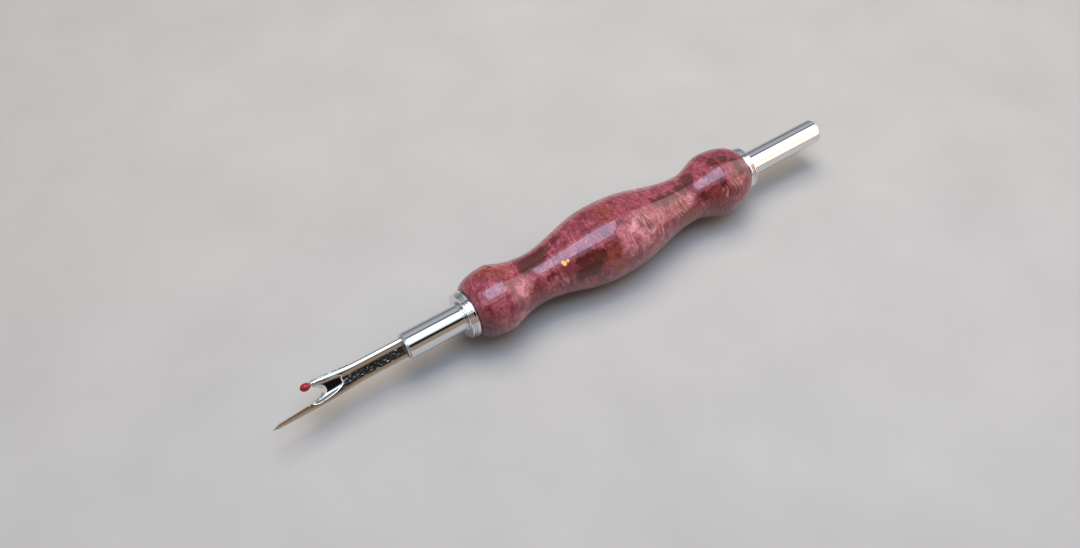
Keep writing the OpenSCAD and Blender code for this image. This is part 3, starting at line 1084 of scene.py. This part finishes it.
def dyed_burl():
    material, tree, shader, coordinates = new_material("dyed_burl")
    grain_space = wandering(tree, coordinates, 110.0, 7.0)
    patch_space = wandering(tree, wandering(tree, coordinates, 300.0, 3.4), 1100.0, 1.3)
    figure = place_group(tree, burl_figure, grain_space, **{
        "Streak Size": 1500.0, "Mottle Size": 900.0, "Streak Share": 0.35})
    broad = noise(tree, grain_space, 190.0, detail=3.0)
    tone = combine(tree, "ADD", combine(tree, "MULTIPLY", figure.outputs["Tone"], 0.7),
                   combine(tree, "MULTIPLY", broad, 0.3))

    rose = ramp(tree, tone, [
        (0.37, (0.075, 0.006, 0.008)), (0.45, (0.150, 0.016, 0.024)),
        (0.52, (0.240, 0.034, 0.052)), (0.62, (0.420, 0.105, 0.125)),
    ])
    brown = ramp(tree, tone, [(0.38, (0.085, 0.007, 0.004)), (0.62, (0.300, 0.050, 0.032))])
    pale = ramp(tree, tone, [(0.37, (0.190, 0.026, 0.036)), (0.49, (0.400, 0.105, 0.125)),
                             (0.60, (0.600, 0.240, 0.250))])
    maroon = ramp(tree, tone, [(0.36, (0.030, 0.0025, 0.002)), (0.54, (0.080, 0.007, 0.005)),
                               (0.66, (0.180, 0.028, 0.024))])
    wood = mix(tree, patch_mask(tree, patch_space, ORANGE_BROWN, 2.2), rose, brown)
    wood = mix(tree, patch_mask(tree, patch_space, PALE_FIGURE, 1.8), wood, pale)
    streak_lines = noise(tree, stretched(tree, grain_space, (1.0, 0.10, 0.10)), 1800.0, detail=3.0)
    streak_tone = ramp(tree, streak_lines, [
        (0.38, (0.095, 0.010, 0.011)), (0.50, (0.260, 0.042, 0.050)),
        (0.64, (0.520, 0.190, 0.185)),
    ])
    wood = mix(tree, patch_mask(tree, patch_space, DYE_DARK, 0.7), wood, maroon)
    wood = mix(tree, patch_mask(tree, patch_space, STREAKED, 1.2), wood, streak_tone)
    line_share = combine(tree, "MULTIPLY", figure.outputs["Lines"], 0.55)
    wood = mix(tree, line_share, wood, (0.050, 0.006, 0.008))
    wood = mix(tree, patch_mask(tree, patch_space, KNOTS, 0.5), wood, (0.020, 0.002, 0.002))
    glint = noise(tree, coordinates, 2600.0, detail=1.0)
    glint_mask = ramp(tree, glint, [(0.60, (0, 0, 0)), (0.66, (1, 1, 1))])
    knot_rim = patch_mask(tree, patch_space, [(c, r * 1.6) for c, r in KNOTS], 0.6)
    wood = mix(tree, combine(tree, "MULTIPLY", knot_rim, glint_mask), wood, (0.60, 0.22, 0.14))
    gold = patch_mask(tree, patch_space, GOLD_FLECK, 0.12)
    wood = mix(tree, gold, wood, (0.85, 0.45, 0.12))
    fill(tree, shader.inputs["Base Color"], wood)

    fibre = noise(tree, stretched(tree, grain_space, (1.0, 0.3, 0.3)), 2400.0, detail=5.0)
    fill(tree, shader.inputs["Roughness"], scaled(tree, fibre, 0.25, 0.30))
    shader.inputs["Coat Weight"].default_value = 1.0
    shader.inputs["Coat Roughness"].default_value = 0.015
    shader.inputs["Coat IOR"].default_value = 1.5
    shader.inputs["Specular IOR Level"].default_value = 0.25
    wire_bump(tree, shader, fibre, 0.2, 2e-5)
    ripple = noise(tree, coordinates, 160.0, detail=1.0)
    wire_bump(tree, shader, ripple, 0.10, 2e-5, socket="Coat Normal")
    return material


burl = dyed_burl()

# %% [markdown]
# ## Giving each piece its finish
# New pieces take their material straight away. The CAD nodes that stay as they are, the liner
# tube, grip rings and plugs, get theirs in their material slots.

# %% Assign materials
def dress(piece, material):
    piece.data.materials.clear()
    piece.data.materials.append(material)


for piece, material in (
    (handle, burl), (front_ferrule, ferrule_chrome), (rear_ferrule, ferrule_chrome),
    (bpy.data.objects["front_sleeve"], holder_chrome),
    (bpy.data.objects["rear_sleeve"], holder_chrome),
    (front_blade, blade_steel), (rear_blade, blade_steel),
    (front_bead, bead_plastic), (rear_bead, bead_plastic),
):
    dress(piece, material)
for node, material in (
    ("liner_tube", liner_brass), ("front_plug", plug_metal), ("rear_plug", plug_metal),
    ("front_grip_ring", grip_rubber), ("rear_grip_ring", grip_rubber),
):
    dress(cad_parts[node], material)
print("materials", sorted(m.name for m in bpy.data.materials))

# %% [markdown]
# ## Bench and light
# The tool lies on a plain pale bench. Polished metal and lacquer show the room, so the room is
# built for them. A broad cool window overhead gives the long highlight on the handle, and a
# warm wall at the rear end fills the coves. A ceiling lamp that mirrors don't see lifts the
# shadows. The world is a ramp round the tool's axis: warm and low near the viewer, a black band
# for the sharp dark line along the sleeves, then the pale sky with one thin dark line in it.

# %% Floor
def pale_bench():
    material, tree, shader, coordinates = new_material("pale_bench")
    tone = noise(tree, coordinates, 30, detail=4.0)
    colour = ramp(tree, tone, [(0.3, (0.365, 0.340, 0.315)), (0.7, (0.400, 0.372, 0.345))])
    fill(tree, shader.inputs["Base Color"], colour)
    shader.inputs["Roughness"].default_value = 0.9
    shader.inputs["Specular IOR Level"].default_value = 0.2
    return material


FLOOR_HALF = 2.0
floor_mesh = bpy.data.meshes.new("bench_top")
floor_mesh.from_pydata(
    [(-FLOOR_HALF, -FLOOR_HALF, 0), (FLOOR_HALF, -FLOOR_HALF, 0),
     (FLOOR_HALF, FLOOR_HALF, 0), (-FLOOR_HALF, FLOOR_HALF, 0)], [], [(0, 1, 2, 3)])
floor = put_in_scene("bench_top", floor_mesh)
dress(floor, pale_bench())


# %% Lights
def softbox(name, place, target, size, power, colour):
    """Rectangular area light at place, facing target."""
    data = bpy.data.lights.new(name, "AREA")
    data.shape = "RECTANGLE"
    data.size, data.size_y = size
    data.energy = power
    data.color = colour
    light = put_in_scene(name, data)
    light.location = place
    light.rotation_euler = (Vector(target) - Vector(place)).to_track_quat("-Z", "Y").to_euler()
    return light


softbox("overhead_window", (0.03, -0.12, 0.60), (0.03, -0.12, 0.0), (0.50, 0.38), 2.9,
        (0.46, 0.69, 1.0))
softbox("warm_wall", (0.55, -0.30, 0.42), (0.0, -0.30, 0.42), (0.80, 0.80), 3.0, (1.0, 0.78, 0.68))
ceiling = softbox("ceiling_fill", (0.06, 0.16, 0.55), (0.0, 0.0, 0.0), (0.34, 0.34), 3.0,
                  (1.0, 0.93, 0.84))
ceiling.visible_glossy = False

# %% World
# Share of the room's light that reaches matt surfaces; the rest of it comes from the lamps
AMBIENT = 0.55


def room_world():
    world = bpy.data.worlds.new("studio_room")
    world.use_nodes = True
    tree = world.node_tree
    background = tree.nodes["Background"]
    direction = tree.nodes.new("ShaderNodeTexCoord").outputs["Generated"]
    parts = add(tree, "ShaderNodeSeparateXYZ")
    fill(tree, parts.inputs[0], direction)
    near_side = combine(tree, "MULTIPLY", parts.outputs["Y"], -1.0)
    height = combine(tree, "MAXIMUM", parts.outputs["Z"], 0.0)
    angle = combine(tree, "ARCTAN2", height, near_side)
    share = combine(tree, "DIVIDE", angle, math.pi)
    sky = ramp(tree, share, [
        (0.00, (0.34, 0.27, 0.20)), (0.12, (0.38, 0.30, 0.23)), (0.185, (0.10, 0.075, 0.06)),
        (0.202, (0.004, 0.003, 0.002)), (0.270, (0.004, 0.003, 0.002)),
        (0.278, (0.80, 0.82, 0.84)), (0.57, (0.80, 0.84, 0.88)), (0.592, (0.60, 0.64, 0.68)),
        (0.602, (0.10, 0.10, 0.11)), (0.642, (0.10, 0.10, 0.11)), (0.656, (0.52, 0.55, 0.58)),
        (0.80, (0.42, 0.45, 0.49)), (0.90, (0.20, 0.21, 0.23)), (1.00, (0.30, 0.30, 0.30)),
    ])
    near_point = add(tree, "ShaderNodeMapRange", From_Min=-0.50, From_Max=-0.70)
    fill(tree, near_point.inputs["Value"], parts.outputs["X"])
    room = mix(tree, near_point.outputs["Result"], sky, (0.55, 0.55, 0.56))
    fill(tree, background.inputs["Color"], room)
    matt_hit = add(tree, "ShaderNodeLightPath").outputs["Is Diffuse Ray"]
    fill(tree, background.inputs["Strength"], scaled(tree, matt_hit, AMBIENT - 1.0, 1.0))
    bpy.context.scene.world = world


room_world()
view = bpy.context.scene.view_settings
view.view_transform = "Standard"
view.look = "None"
view.exposure = 0.0
